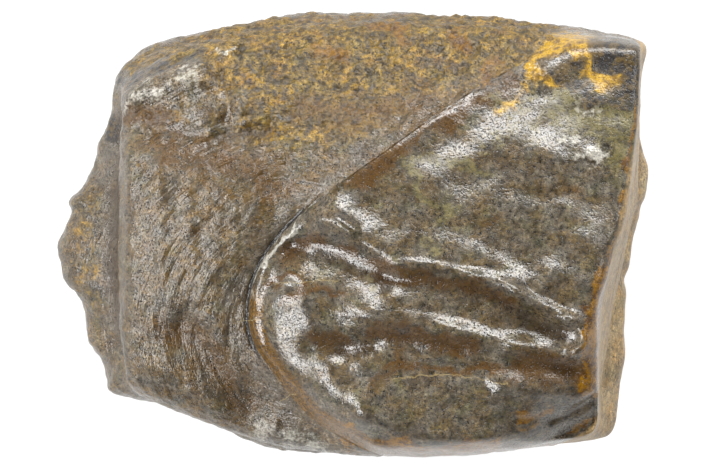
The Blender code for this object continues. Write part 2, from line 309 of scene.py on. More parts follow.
@dataclass(frozen=True)
class Crown:
    """The enamelled face: the lip round its border, the swelling inside that, and the primary ridge.

    Attributes:
        solid_rise, solid_edge: how far the enamel of the solid stands up, and over what distance each way
            of the border, which the finer profile here takes the place of.
        lowest: how far down the near side the enamel reaches.
        stained: the first point of the border's orange-brown stretch, which is also darkened as painted
            shade, and the first one past it.
    """

    solid_rise: float = 0.55
    solid_edge: float = 0.6
    lowest: float = 7.4
    stained: tuple[int, int] = (13, 22)
    border: Line = (
        (13.0, 8.9),
        (11.2, 8.4),
        (9.9, 8.3),
        (8.3, 7.7),
        (7.1, 7.0),
        (5.1, 5.9),
        (3.1, 4.6),
        (1.3, 3.3),
        (-0.1, 2.3),
        (-1.6, 1.2),
        (-2.9, -0.1),
        (-3.6, -1.1),
        (-4.0, -2.2),
        (-4.1, -3.5),
        (-3.8, -4.5),
        (-3.2, -5.4),
        (-2.4, -6.4),
        (-1.6, -7.3),
        (-0.5, -8.0),
        (0.9, -8.7),
        (2.8, -9.3),
        (8.0, -9.8),
        (13.0, -9.8),
    )

    def inside(self, surface: Surface) -> np.ndarray:
        """Each point's distance inside the enamel's border; below 0 it is outside."""
        far, side = Curve(self.border).measure(surface.flat(Face.UPPER))
        along = surface.places[:, 0]
        waver = 0.35 * np.sin(1.1 * along + 0.6) + 0.16 * np.sin(3.1 * along)
        return np.minimum(far * side, surface.places[:, 2] - self.lowest - waver)

    def gather(self, surface: Surface) -> None:
        """Draws the points near the border in towards it, so that the lip has more of them."""
        width = 0.7
        crowding = 1.6
        spots = surface.flat(Face.UPPER)
        curve = Curve(self.border)
        far, side = curve.measure(spots)
        nudge = 0.01
        slope = []
        for step in ((nudge, 0.0), (0.0, nudge)):
            moved, moved_side = curve.measure(spots + np.array(step))
            slope.append((moved * moved_side - far * side) / nudge)
        slope = np.stack(slope, axis=-1)
        share = np.clip(far / width, 0, 1)
        travel = (share**crowding - share) * width * side * surface.facing(Face.UPPER, 0.5, 0.8)
        shift = slope * travel[:, None]
        up = np.maximum(surface.normals[:, 2], 0.5)
        fall = (surface.normals[:, :2] * shift).sum(axis=1) / up
        surface.places[:, :2] += shift
        surface.places[:, 2] -= fall
        surface.settle()

    def arc(self, surface: Surface) -> np.ndarray:
        """How surely each point is near the crown's rounded base, not its straight far border."""
        return 1 - between(surface.places[:, 1] + 0.8 * surface.places[:, 0], -1.8, 1.6)

    def glassy(self, surface: Surface) -> np.ndarray:
        """How surely each point is near the stretch of the border whose lip is bare, glassy enamel."""
        line = Curve(((-2.4, 0.4), (-3.1, -0.5), (-4.1, -2.6), (-4.1, -4.0)))
        return between(line.glow(surface.flat(Face.UPPER), 0.9), 0.1, 0.7)

    def profile(self, surface: Surface) -> np.ndarray:
        """The height across the border, less what the solid already has."""
        inside = self.inside(surface)
        glassy = self.glassy(surface)
        arc = self.arc(surface)
        gap = -0.14 * np.exp(-(((inside + 0.08) / 0.08) ** 2)) * (0.3 + 0.7 * glassy)
        wall = (0.32 - 0.12 * glassy) * between(inside, -0.02, 0.34 - 0.20 * glassy)
        bead = 0.15 * glassy * (between(inside, 0.0, 0.2) - between(inside, 0.2, 0.6))
        swelling = (0.30 + 0.06 * glassy) * between(inside, 0.30, 1.65)
        rounded = gap + wall + bead + swelling
        straight = 0.78 * between(inside, -1.8, 0.05) - 0.40 * between(inside, 0.05, 1.8)
        solid = self.solid_rise * between(inside, -self.solid_edge, self.solid_edge)
        return arc * rounded + (1 - arc) * straight - solid

    def carve(self, surface: Surface) -> None:
        """Carves the crown's own forms."""
        surface.push(Face.UPPER, self.profile(surface))
        surface.settle()
        for stroke in self.strokes():
            stroke.carve(surface)
        surface.settle()

    def strokes(self) -> list[Stroke]:
        """The ridges and hollows of the crown, beyond those of the solid."""
        return strokes_on(
            Face.UPPER,
            # The primary ridge: a narrow bead on a plateau, which broadens to a bright far flank
            (((1.2, -1.15), (2.0, -1.12), (3.0, -1.2), (4.0, -1.42), (5.0, -1.72)), 0.15, 0.16, 0.12),
            (((4.8, -1.7), (5.8, -2.0), (6.6, -2.35)), 0.18, 0.48, 0.12),
            (((6.4, -2.25), (7.1, -2.65), (7.9, -3.15), (8.5, -3.35)), 0.38, 0.62, 0.25),
            (((6.9, -2.15), (7.7, -2.5), (8.4, -2.85)), -0.16, 0.25, 0.2),
            (((4.4, -1.15), (5.4, -1.35), (6.2, -1.7), (6.9, -2.05)), -0.13, 0.28),
            (((9.3, -0.4), (9.6, -1.6), (9.5, -2.6)), 0.34, 0.9),
            (((7.9, -1.5), (8.7, -1.9)), 0.30, 0.7),
            # The ridge's rounded end, a bead that turns back to the second crest round a dimple
            (((8.4, -3.3), (8.9, -3.5), (9.15, -3.9), (9.1, -4.35), (8.7, -4.68)), 0.26, 0.22),
            (((8.7, -4.75), (8.0, -4.75), (7.2, -4.62), (6.4, -4.4)), 0.30, 0.36, 0.5),
            (((7.4, -3.75), (8.3, -3.8)), -0.05, 0.3),
            # The valley between the crests is shallow
            (((1.6, -2.3), (3.4, -2.55), (5.0, -2.9), (6.4, -3.35)), 0.24, 0.45),
            (((1.2, -1.62), (3.0, -1.72), (4.6, -2.05), (6.2, -2.65)), -0.06, 0.18),
            # The second crest: low, with a steep near flank
            (((-0.3, -3.15), (1.0, -3.15), (2.6, -3.45), (4.2, -3.85)), 0.05, 0.3, 0.14),
            (((4.2, -3.85), (5.4, -4.15), (6.6, -4.4)), 0.10, 0.45, 0.2),
            (((0.9, -3.85), (2.6, -4.05), (4.4, -4.5)), -0.05, 0.2),
            # The second groove, and the lobe beyond it, which stays nearly level to its edge
            (((1.6, -5.0), (3.2, -5.25), (5.0, -5.25), (6.6, -5.1)), -0.04, 0.2),
            (((0.4, -5.0), (3.6, -4.9), (6.0, -5.0), (8.6, -5.8)), 0.12, 0.5),
            (((6.0, -5.9), (7.4, -6.1), (9.0, -6.2)), 0.42, 0.8, 0.5),
            (((0.4, -7.3), (2.2, -8.0), (5.2, -8.3), (6.8, -8.1)), 0.75, 0.95),
            (((0.9, -8.4), (2.8, -8.8), (5.6, -8.75)), 0.6, 0.45),
            (((-1.6, -4.4), (-0.4, -4.6), (0.8, -4.5)), -0.12, 0.35),
            # The dark hollow near the crown base, and the bright swellings above it
            (((-1.9, -0.3), (-0.8, -0.4), (0.4, -0.8), (1.1, -1.2)), -0.26, 0.34, 1.0),
            (((-1.4, 0.7), (-0.8, 0.55), (0.0, 0.15)), 0.20, 0.34, 0.3),
            (((-0.5, 0.65), (0.0, 0.2)), 0.14, 0.26),
            # The eye-shaped dimple inside the lip
            (((-2.9, -1.9), (-2.4, -2.0)), -0.20, 0.28),
            # The base's broad shoulder, which catches the light
            (((-3.7, -3.4), (-3.3, -4.8), (-2.4, -5.8), (-1.4, -6.8), (-0.4, -7.6)), 0.24, 1.1, 0.45),
            (((-1.9, -2.9), (-1.4, -4.2), (-0.9, -5.2)), 0.22, 0.6),
            # Swells of the far lobe
            (((2.2, -0.1), (3.4, -0.2), (4.6, -0.5)), 0.10, 0.5),
            (((5.2, 2.3), (7.4, 2.5), (9.4, 2.9)), -0.16, 1.5),
            (((7.4, 3.4), (8.3, 2.9), (9.4, 3.1)), 0.12, 0.5),
            (((6.4, 1.9), (7.4, 1.5), (8.4, 1.7)), -0.10, 0.45),
            (((4.4, 2.0), (5.6, 2.4)), -0.08, 0.6),
            (((8.6, 4.9), (9.8, 4.6)), -0.08, 0.5),
        )


@dataclass(frozen=True)
class WearEnd:
    """The wear facet with its cutting edge, the ledges under it, and the chipped corner.

    Attributes:
        chip_drop: how far the chip's floor lies under the enamel.
    """

    chip_drop: float = 0.42
    cutting_edge: Line = (
        (11.4, 9.0),
        (11.4, 6.9),
        (11.3, 4.1),
        (11.0, 2.8),
        (10.65, 0.9),
        (10.2, -1.2),
        (9.85, -2.9),
        (9.75, -4.6),
        (9.78, -6.0),
        (9.8, -6.9),
        (9.5, -7.6),
        (8.4, -8.25),
        (7.4, -8.6),
    )
    chip_scarp: Line = (
        (6.5, -7.2),
        (7.6, -7.12),
        (8.3, -6.9),
        (8.9, -6.6),
        (9.5, -6.2),
        (9.9, -5.95),
        (11.0, -5.6),
    )
    chip_fade: Line = ((7.9, -6.6), (7.6, -7.12), (7.1, -7.8), (6.3, -8.8), (5.9, -9.4))

    def facet(self, surface: Surface) -> np.ndarray:
        """How surely each point lies on the wear facet."""
        far, side = Curve(self.cutting_edge).measure(surface.flat(Face.UPPER))
        beyond = between(far * side, -0.04, 0.06)
        return beyond * between(surface.places[:, 0], 5.0, 7.0)

    def chipped(self, surface: Surface) -> np.ndarray:
        """How deep the chip is at each point, from 0 to 1."""
        spots = surface.flat(Face.UPPER)
        far, side = Curve(self.chip_scarp).measure(spots)
        below = between(-far * side, -0.02, 0.16)
        far, side = Curve(self.chip_fade).measure(spots)
        return below * between(far * side, -0.05, 1.3) * between(surface.places[:, 0], 5.5, 6.5)

    def carve(self, surface: Surface) -> None:
        """Carves the chip, and the ledges and bulges of the end."""
        surface.push(Face.UPPER, -self.chip_drop * self.chipped(surface))
        surface.settle()
        for stroke in self.strokes():
            stroke.carve(surface)
        surface.settle()

    def strokes(self) -> list[Stroke]:
        """The grooves of the chip's floor, and the forms of the end under the facet."""
        upper = strokes_on(
            Face.UPPER,
            (((6.5, -7.3), (7.8, -7.2)), -0.14, 0.14, 0.3),
            (((8.0, -7.6), (8.9, -7.3), (9.5, -6.9)), 0.10, 0.16),
            (((7.6, -7.5), (8.6, -7.0), (9.5, -6.5)), -0.10, 0.14),
            (((7.2, -8.3), (8.4, -7.9), (9.3, -7.4)), -0.06, 0.14),
            (((9.1, -4.4), (9.2, -5.2), (9.15, -6.1)), 0.10, 0.25),
        )
        end = strokes_on(
            Face.WEAR_END,
            (((-6.0, 5.4), (-1.0, 5.3), (6.0, 5.6)), -0.22, 0.45),
            (((2.6, 3.0), (2.6, 4.2)), 0.16, 0.55),
            (((0.9, 2.0), (1.2, 4.6)), -0.14, 0.4),
            (((-1.9, 2.4), (-1.7, 4.6)), -0.20, 0.4),
            (((4.0, 3.0), (4.2, 4.5)), -0.14, 0.45),
            (((-4.6, 2.6), (-4.2, 4.4)), 0.16, 0.8),
            (((-6.0, 8.0), (-2.0, 9.2), (2.0, 8.6), (6.0, 8.8)), -0.06, 0.9),
            (((-8.4, 3.6), (-7.0, 4.0), (-5.4, 4.4)), 0.40, 1.0),
            (((-3.0, 4.2), (-1.8, 4.2)), 0.20, 0.8),
            (((1.4, 4.2), (1.4, 5.4)), 0.20, 0.8),
            (((7.8, 4.0), (7.8, 6.0)), 0.30, 0.8),
        )
        return upper + end


@dataclass(frozen=True)
class Root:
    """The resorbed root: its growth wrinkles, the flange and furrow, and the ragged lobe of its end.

    Attributes:
        heart: the middle that the growth wrinkles curve round.
        fold_width: about how wide a wrinkle is.
        fold_turn: how many wrinkles follow one another in a radian along the curve.
        fold_height: how high the tallest wrinkles stand.
    """

    heart: tuple[float, float] = (-2.1, -3.8)
    fold_width: float = 0.26
    fold_turn: float = 2.6
    fold_height: float = 0.11

    def wrinkle(self, surface: Surface, bare: np.ndarray) -> None:
        """Carves the growth wrinkles, strongest on the root's middle.

        Args:
            surface: the surface to carve.
            bare: each point's share of dentine.
        """
        off = surface.places[:, :2] - np.array(self.heart)
        ring = np.hypot(off[:, 0], off[:, 1]) / self.fold_width
        turn = np.arctan2(off[:, 1], -off[:, 0]) * self.fold_turn
        folds = np.array([noise.noise(Vector((r, t, 0.5))) for r, t in zip(ring, turn)])
        middle = Curve(((-6.6, 3.6), (-6.8, 0.0), (-6.4, -3.0))).glow(surface.flat(Face.UPPER), 2.0)
        upper = between(surface.places[:, 2], 6.0, 8.0)
        surface.swell(folds * self.fold_height * bare * (0.15 + 0.85 * middle) * upper)

    def carve(self, surface: Surface) -> None:
        """Carves the root's own forms."""
        for stroke in self.strokes():
            stroke.carve(surface)
        surface.settle()

    def strokes(self) -> list[Stroke]:
        """The ridges and hollows of the root, beyond those of the solid."""
        upper = strokes_on(
            Face.UPPER,
            # The flange at the far corner, the ledge outside it and the tan strip beyond
            (((-9.3, 5.4), (-8.4, 5.7), (-7.3, 6.0), (-6.2, 6.3)), 0.20, 0.70, 0.55),
            (((-9.5, 5.95), (-8.6, 6.45), (-7.6, 6.85), (-6.4, 7.2), (-5.4, 7.4)), -0.10, 0.10, 0.14),
            (((-9.0, 6.8), (-8.0, 7.2), (-6.9, 7.5), (-5.6, 7.9)), 0.6, 0.9),
            (((-8.6, 4.9), (-7.6, 4.95), (-6.8, 5.0)), -0.06, 0.5),
            (((-7.6, 4.3), (-6.3, 3.9), (-5.0, 3.85), (-3.8, 4.1)), -0.12, 0.24, 0.5),
            (((-5.1, 4.4), (-4.9, 5.2), (-5.2, 6.4)), -0.16, 0.22),
            (((-4.5, 5.5), (-4.0, 5.0), (-3.4, 4.6)), 0.14, 0.4),
            (((-6.0, 6.0), (-5.6, 5.2), (-5.9, 4.5)), 0.08, 0.5),
            (((-8.8, 3.2), (-8.9, 0.0), (-8.6, -3.0)), 0.12, 0.25, 0.4),
            (((-7.7, 2.6), (-7.6, 0.5), (-7.5, -2.4)), 0.08, 0.25),
            (((-6.5, 1.8), (-6.4, 0.0), (-6.2, -2.0)), 0.07, 0.25),
            (((-6.6, -3.6), (-5.6, -5.0), (-3.8, -7.0)), -0.12, 0.5),
            (((-8.2, -5.2), (-6.8, -5.7), (-5.2, -6.9)), 0.10, 0.5),
            # The grey chip on the end's shoulder
            (((-9.5, 4.0), (-9.6, 4.7)), -0.26, 0.30, 0.6),
        )
        lobe = strokes_on(
            Face.ROOT_END,
            # The ragged lower lobe
            (((-6.6, 3.0), (-6.5, 4.8)), 0.50, 0.6),
            (((-4.3, 3.0), (-4.3, 4.8)), 0.22, 0.5),
            (((-1.9, 3.0), (-1.9, 4.8)), 0.40, 0.6),
            (((-0.5, 3.0), (-0.5, 4.8)), 0.26, 0.7),
            (((1.4, 3.0), (1.4, 4.8)), 0.38, 0.3),
            (((3.7, 3.0), (3.7, 5.2)), 0.28, 0.5),
        )
        swelling = strokes_on(
            Face.FAR_SIDE,
            # The far side's swelling
            (((-8.0, 4.0), (-4.5, 4.0), (-3.4, 4.0), (-1.8, 4.0)), 0.26, 1.4),
            (((2.0, 4.0), (5.0, 4.0)), 0.12, 1.6),
        )
        furrow = strokes_on(
            Face.ROOT_END,
            (((-4.0, 5.6), (0.0, 6.1), (4.0, 5.8)), -0.22, 0.5),
        )
        return upper + lobe + swelling + furrow


@dataclass(frozen=True)
class Grit:
    """The small roughness that covers the tooth, carved as real relief."""

    def carve(
        self, surface: Surface, root: Root, enamel: np.ndarray, facet: np.ndarray, gold: np.ndarray
    ) -> None:
        """Carves lumps, growth wrinkles, grains and pits.

        Args:
            surface: the surface to carve.
            root: the root, whose wrinkles it carves.
            enamel: each point's share of enamel.
            facet: each point's share of wear facet.
            gold: each point's share of granular crust.
        """
        bare = (1 - enamel) * (1 - 0.7 * facet)
        root.wrinkle(surface, bare)
        low = 1 - between(surface.places[:, 2], 4.5, 7.5)
        lumps = surface.rough((1.6, 1.6, 1.6), 11.3) * 0.10 + surface.rough((0.7, 0.7, 0.7), 5.1) * 0.05
        surface.swell(lumps * bare * (0.4 + 1.1 * low))
        waves = surface.rough((1.2, 0.9, 1.2), 31.7) * 0.05 + surface.rough((0.5, 0.4, 0.5), 7.7) * 0.016
        surface.swell(waves * enamel)
        surface.swell(surface.rough((0.30, 0.30, 0.30), 17.9) * (0.05 * bare + 0.008 * enamel))
        surface.swell((surface.pitted(0.40, 3.3) - 0.6) * 0.22 * gold)
        surface.swell(surface.rough((0.28, 0.28, 0.28), 23.9) * 0.08 * gold)
        surface.settle()


class Tint(Enum):
    """A stain or deposit, and for some also painted shade or a painted highlight, laid on the surface as an
    attribute of this name.
    """

    GOLD = "gold"
    RUST_AND_SHADE = "rust_and_shade"
    BROWN = "brown"
    MUSTARD = "mustard"
    DARK_STAIN_AND_SHADE = "dark_stain_and_shade"
    MOSS = "moss"
    PALE_FLECK_AND_HIGHLIGHT = "pale_fleck_and_highlight"
    SHEEN_AND_GREY_PATCH = "sheen_and_grey_patch"


@dataclass(frozen=True)
class Daub:
    """A soft stain, painted shade or painted highlight along a curve on the upper face.

    Attributes:
        points: the curve's points.
        reach: how far from the line it fades out.
        strength: how strong it is on the line.
    """

    points: Line
    reach: float
    strength: float = 1.0


def daubs(*rows: tuple) -> tuple[Daub, ...]:
    """Daubs of one stain, each from its points, its reach and its strength where that isn't 1."""
    return tuple(Daub(*row) for row in rows)


DAUBS = {
    Tint.GOLD: daubs(
        (((-4.4, 7.6), (-2.5, 7.3), (0.5, 7.0), (3.0, 7.3), (6.5, 7.9)), 1.7, 1.6),
        (((-3.4, 5.0), (-0.8, 4.8), (0.8, 5.4)), 1.3, 1.3),
        (((-8.8, 6.8), (-7.0, 7.5), (-5.0, 8.1)), 0.5, 0.8),
        (((-5.4, 4.2), (-3.6, 3.8)), 0.8, 0.5),
        (((-8.6, 4.8), (-7.0, 4.8)), 0.6, 0.8),
        (((-10.6, 2.0), (-10.7, 0.0), (-10.4, -2.4)), 0.7, 0.55),
    ),
    Tint.RUST_AND_SHADE: daubs(
        (((-1.2, 7.5), (-0.4, 6.9)), 0.4, 0.8),
        (((0.9, 8.3), (2.2, 8.0)), 0.35, 0.8),
        (((4.2, 7.8), (4.6, 7.4)), 0.4, 0.8),
        (((5.1, 6.4), (5.8, 6.8)), 0.3, 0.7),
        (((9.4, -6.2), (9.45, -5.2), (9.4, -4.2)), 0.40, 1.3),
        (((9.4, -4.2), (9.5, -3.0), (9.9, -2.0), (10.2, -1.0)), 0.30, 1.2),
        (((10.2, -1.0), (10.6, 1.0), (11.1, 3.0), (11.3, 5.0)), 0.14, 0.9),
        # Along the chip's scarp the orange-brown line is partly painted shadow
        (((6.5, -7.2), (7.2, -7.15), (7.9, -7.0)), 0.14, 1.3),
        (((6.5, -7.6), (7.6, -7.5)), 0.16, 0.5),
        (((-0.2, -7.9), (1.4, -8.4), (3.6, -8.5), (5.6, -8.4)), 0.34, 1.1),
        (((6.0, -8.7), (7.6, -8.4), (8.8, -7.9), (9.6, -7.2)), 0.10, 0.8),
    ),
    # Dark brown: brown stain, and painted shade in the hollows and grooves, under the ridges' near flanks and
    # over the darker stretches of the root
    Tint.BROWN: daubs(
        (((3.6, 4.4), (4.8, 5.1), (6.2, 6.1)), 0.55, 0.8),
        (((0.2, 2.2), (1.2, 2.8), (2.0, 3.3)), 0.5, 0.8),
        (((-2.2, -0.2), (-0.8, -0.4), (0.4, -0.9), (1.4, -1.3)), 0.32, 0.9),
        (((1.4, -1.5), (3.2, -1.75), (5.0, -2.1), (6.2, -2.6)), 0.28, 0.8),
        (((0.8, -3.75), (2.6, -3.9), (4.8, -4.4)), 0.38, 0.9),
        (((6.6, -5.2), (7.8, -5.3), (9.0, -5.5)), 0.7, 0.9),
        (((1.8, -4.4), (1.9, -5.4), (1.0, -5.9)), 0.5, 0.6),
        (((-1.4, -4.1), (-0.4, -4.3)), 0.45, 0.8),
        (((-2.6, -0.7), (-1.4, -0.3)), 0.5, 0.8),
        (((-8.8, 4.8), (-7.2, 4.8)), 0.6, 1.0),
        (((-1.8, 5.0), (0.4, 4.6), (2.6, 5.4)), 1.0, 0.62),
        (((0.9, 2.9), (2.4, 4.0), (4.0, 5.0)), 0.25, 0.7),
        (((-3.1, -1.9), (-2.7, -1.5), (-2.2, -1.8), (-2.1, -2.3), (-2.7, -2.6)), 0.18, 1.1),
        (((-2.1, -2.2), (-1.2, -2.2), (-0.4, -2.4)), 0.25, 0.8),
        (((-7.4, 3.4), (-4.8, 2.8), (-3.0, 1.8)), 1.3, 0.62),
        (((-7.4, -3.9), (-6.0, -4.2), (-5.2, -5.6), (-4.2, -6.6)), 1.0, 0.62),
        (((-6.6, 3.7), (-5.5, 3.7)), 0.4, 0.5),
        (((-5.4, -4.6), (-4.6, -5.8)), 0.8, 0.4),
        (((5.0, 0.4), (5.7, 0.6)), 0.3, 0.6),
        (((8.1, 1.8), (8.8, 1.6)), 0.35, 0.5),
        (((2.4, 4.6), (4.0, 5.5), (5.6, 6.5)), 0.5, 0.5),
        (((1.4, -5.15), (3.2, -5.3), (5.0, -5.3), (7.0, -5.2)), 0.22, 0.8),
    ),
    Tint.MUSTARD: daubs(
        (((7.4, 6.5), (7.7, 7.2), (8.6, 7.6), (9.7, 7.4)), 0.50, 1.2),
        (((9.1, 7.0), (9.3, 6.2), (10.4, 6.1)), 0.28, 1.1),
        (((7.3, 6.4), (8.2, 6.0)), 0.30, 0.8),
        (((5.9, 4.9), (6.8, 5.7)), 0.36, 0.6),
    ),
    # Near-black: dark stains in the far corner and at the end's shoulder, and painted shade in the flange's
    # ledge groove and in the chip's notch
    Tint.DARK_STAIN_AND_SHADE: daubs(
        (((-9.1, 5.95), (-8.3, 6.4), (-7.4, 6.8), (-6.2, 7.15)), 0.17, 1.3),
        (((7.7, 6.75), (8.0, 6.75)), 0.22, 0.9),
        (((8.6, 7.0), (8.9, 6.8)), 0.22, 0.9),
        (((8.4, 6.2), (8.8, 6.0)), 0.26, 0.9),
        (((9.9, 7.3), (10.6, 7.0), (11.1, 6.4), (11.0, 5.7)), 0.65, 1.2),
        (((8.3, 6.2), (9.2, 5.6), (10.0, 5.3), (11.0, 5.0)), 0.28, 0.9),
        (((-2.9, 4.8), (-2.5, 4.5)), 0.22, 0.8),
        (((8.5, -6.75), (9.0, -6.7), (9.5, -6.5)), 0.16, 0.8),
        (((8.6, -7.7), (9.2, -7.4), (9.6, -7.0)), 0.18, 0.5),
        (((-9.6, 4.6), (-9.5, 4.1)), 0.36, 0.9),
    ),
    Tint.MOSS: daubs(
        (((2.4, 3.0), (2.6, 1.8), (4.0, 0.9), (3.8, 0.4)), 0.3, 0.8),
        (((2.6, 2.8), (3.8, 2.9), (5.2, 2.4)), 0.35, 0.8),
        (((3.0, 0.0), (3.4, -0.6)), 0.4, 0.6),
        (((8.4, 5.2), (9.6, 4.4), (10.6, 4.6), (11.0, 3.0)), 0.9, 1.1),
        (((5.6, 5.6), (6.4, 5.0), (7.2, 5.6)), 0.5, 0.7),
        (((5.3, 3.4), (6.2, 4.2), (7.4, 4.4)), 0.5, 0.5),
        (((0.4, -1.4), (0.9, -2.2)), 0.3, 0.6),
        (((2.0, -6.6), (4.4, -6.9)), 1.0, 0.25),
    ),
    # On the flange, the lip and the near rim it stands in for light that the photo shows there
    Tint.PALE_FLECK_AND_HIGHLIGHT: daubs(
        (((-8.9, 5.2), (-8.2, 5.7), (-7.4, 5.9)), 0.36, 0.52),
        (((-7.1, 6.2), (-6.4, 6.4)), 0.34, 0.50),
        (((-5.3, 7.3), (-4.9, 7.5)), 0.12, 0.8),
        (((-2.0, 0.8), (-2.7, 0.15), (-3.2, -0.5), (-3.6, -1.2), (-3.85, -2.0)), 0.10, 1.3),
        (((-3.85, -2.0), (-4.0, -2.8), (-4.02, -3.5), (-3.95, -4.0)), 0.10, 1.3),
        # Small pale flecks on the far lobe: painted glints
        (((8.4, 3.6), (8.9, 3.9)), 0.3, 0.6),
        (((9.3, 3.0), (10.1, 3.1)), 0.3, 0.8),
        (((8.9, 5.3), (9.7, 5.1)), 0.3, 0.5),
        (((-3.6, -7.7), (-1.2, -8.3)), 0.6, 0.55),
    ),
    # Grey bands: painted sheen on the bank outside the enamel's border, on the smooth band at the root end
    # and at the near rim; the small patch on the end's shoulder is simply painted grey
    Tint.SHEEN_AND_GREY_PATCH: daubs(
        (((7.6, 7.7), (5.1, 6.5), (3.1, 5.2), (0.9, 3.6), (-0.9, 2.2)), 0.45, 0.5),
        (((-0.9, 2.2), (-3.0, 0.4), (-4.3, -1.6), (-4.7, -3.6), (-3.8, -5.6), (-1.6, -7.9)), 0.6, 0.6),
        (((-9.6, 3.4), (-9.7, 0.0), (-9.5, -3.4)), 0.45, 0.9),
        (((-9.6, 4.7), (-9.6, 4.0)), 0.4),
        (((-3.4, -8.2), (-1.2, -8.6)), 0.5, 0.9),
    ),
}


@dataclass(frozen=True)
class Finish:
    """The colours and sheen of one surface of the tooth.

    Attributes:
        cool, warm, mossy, ruddy: the colours that its patches drift between.
        roughness: how dull it is, from 0 to 1.
        speckle: how far its finest grain lightens and darkens it; its pale specks are partly painted glints.
    """

    cool: Colour
    warm: Colour
    mossy: Colour
    ruddy: Colour
    roughness: float
    speckle: float


ENAMEL = Finish(shade(103, 96, 84), shade(98, 82, 56), shade(88, 86, 56), shade(80, 66, 50), 0.18, 0.95)
DENTINE = Finish(shade(104, 94, 77), shade(104, 80, 40), shade(86, 81, 50), shade(80, 64, 48), 0.23, 0.8)
FACET = Finish(shade(174, 150, 108), shade(176, 140, 82), shade(160, 144, 94), shade(156, 122, 78), 0.45, 0.6)
CRUST = Finish(shade(108, 86, 34), shade(132, 102, 26), shade(92, 82, 28), shade(118, 76, 12), 0.5, 1.0)


class Nodes:
    """Adds and links the shader nodes of one material."""

    def __init__(self, tree: bpy.types.ShaderNodeTree) -> None:
        """Starts on a material's node tree."""
        self.tree = tree

    def add(self, kind: str, **settings: object) -> bpy.types.ShaderNode:
        """Adds a node and sets its properties."""
        node = self.tree.nodes.new(kind)
        for name, value in settings.items():
            setattr(node, name, value)
        return node

    def plug(self, socket: bpy.types.NodeSocket, value: object) -> None:
        """Links a socket to another, or sets it to a number, a vector or a colour."""
        if isinstance(value, bpy.types.NodeSocket):
            self.tree.links.new(value, socket)
        else:
            socket.default_value = value

    def math(self, operation: str, a: object, b: object = 0.0, clamp: bool = False) -> bpy.types.NodeSocket:
        """Does a sum on one or two values."""
        node = self.add("ShaderNodeMath", operation=operation, use_clamp=clamp)
        self.plug(node.inputs[0], a)
        self.plug(node.inputs[1], b)
        return node.outputs[0]

    def times(self, a: object, b: object) -> bpy.types.NodeSocket:
        """Multiplies two values."""
        return self.math("MULTIPLY", a, b)

    def plus(self, a: object, b: object) -> bpy.types.NodeSocket:
        """Adds two values."""
        return self.math("ADD", a, b)

    def rest(self, share: object) -> bpy.types.NodeSocket:
        """What a share leaves of 1."""
        return self.math("SUBTRACT", 1.0, share)

    def vector(self, operation: str, a: object, b: object) -> bpy.types.NodeSocket:
        """Does a sum on two vectors."""
        node = self.add("ShaderNodeVectorMath", operation=operation)
        self.plug(node.inputs[0], a)
        self.plug(node.inputs[1], b)
        return node.outputs[0]

    def ease(self, value: object, low: float, high: float) -> bpy.types.NodeSocket:
        """Eases from 0 at low to 1 at high."""
        node = self.add("ShaderNodeMapRange", interpolation_type="SMOOTHSTEP")
        self.plug(node.inputs["Value"], value)
        node.inputs["From Min"].default_value = low
        node.inputs["From Max"].default_value = high
        return node.outputs["Result"]

    def mix(self, share: object, a: object, b: object) -> bpy.types.NodeSocket:
        """Mixes two colours."""
        node = self.add("ShaderNodeMix", data_type="RGBA")
        self.plug(node.inputs["Factor"], share)
        self.plug(node.inputs[6], a)
        self.plug(node.inputs[7], b)
        return node.outputs[2]

    def blend(self, share: object, a: object, b: object) -> bpy.types.NodeSocket:
        """Mixes two numbers."""
        node = self.add("ShaderNodeMix", data_type="FLOAT")
        self.plug(node.inputs["Factor"], share)
        self.plug(node.inputs[2], a)
        self.plug(node.inputs[3], b)
        return node.outputs[0]

    def noise(self, at: object, per_mm: float, detail: float, roughness: float) -> bpy.types.NodeSocket:
        """Cloudy noise with features of about 1 / per_mm millimetres."""
        node = self.add("ShaderNodeTexNoise")
        self.plug(node.inputs["Vector"], at)
        node.inputs["Scale"].default_value = per_mm
        node.inputs["Detail"].default_value = detail
        node.inputs["Roughness"].default_value = roughness
        return node.outputs["Fac"]

    def cells(self, at: object, per_mm: float) -> bpy.types.NodeSocket:
        """Round cells: 0 in the middle of each and rising to its border."""
        node = self.add("ShaderNodeTexVoronoi")
        self.plug(node.inputs["Vector"], at)
        node.inputs["Scale"].default_value = per_mm
        return node.outputs["Distance"]

    def attribute(self, name: str) -> bpy.types.NodeSocket:
        """Reads a value painted on the surface."""
        return self.add("ShaderNodeAttribute", attribute_name=name).outputs["Fac"]

    def scaled(self, colour: object, share: object) -> bpy.types.NodeSocket:
        """Makes a colour brighter or darker."""
        node = self.add("ShaderNodeVectorMath", operation="SCALE")
        self.plug(node.inputs[0], colour if isinstance(colour, bpy.types.NodeSocket) else colour[:3])
        self.plug(node.inputs["Scale"], share)
        return node.outputs[0]


@dataclass(frozen=True)
class Crack:
    """A hairline crack filled with pale mineral, on the upper face.

    Attributes:
        start, end: where it runs from and to.
        sag: how far its middle bows towards +Y.
        width: its width.
    """

    start: tuple[float, float]
    end: tuple[float, float]
    sag: float = 0.0
    width: float = 0.035


CRACKS = (
    Crack((1.5, -5.75), (4.8, -5.65), 0.14),
    Crack((4.8, -5.65), (6.2, -5.9), 0.0, 0.02),
    Crack((-3.1, -1.95), (-0.5, -1.85), 0.06, 0.025),
    Crack((-4.6, -3.45), (-3.7, -3.4), 0.0, 0.03),
    Crack((-2.9, -6.6), (-2.2, -6.3), 0.0, 0.03),
)


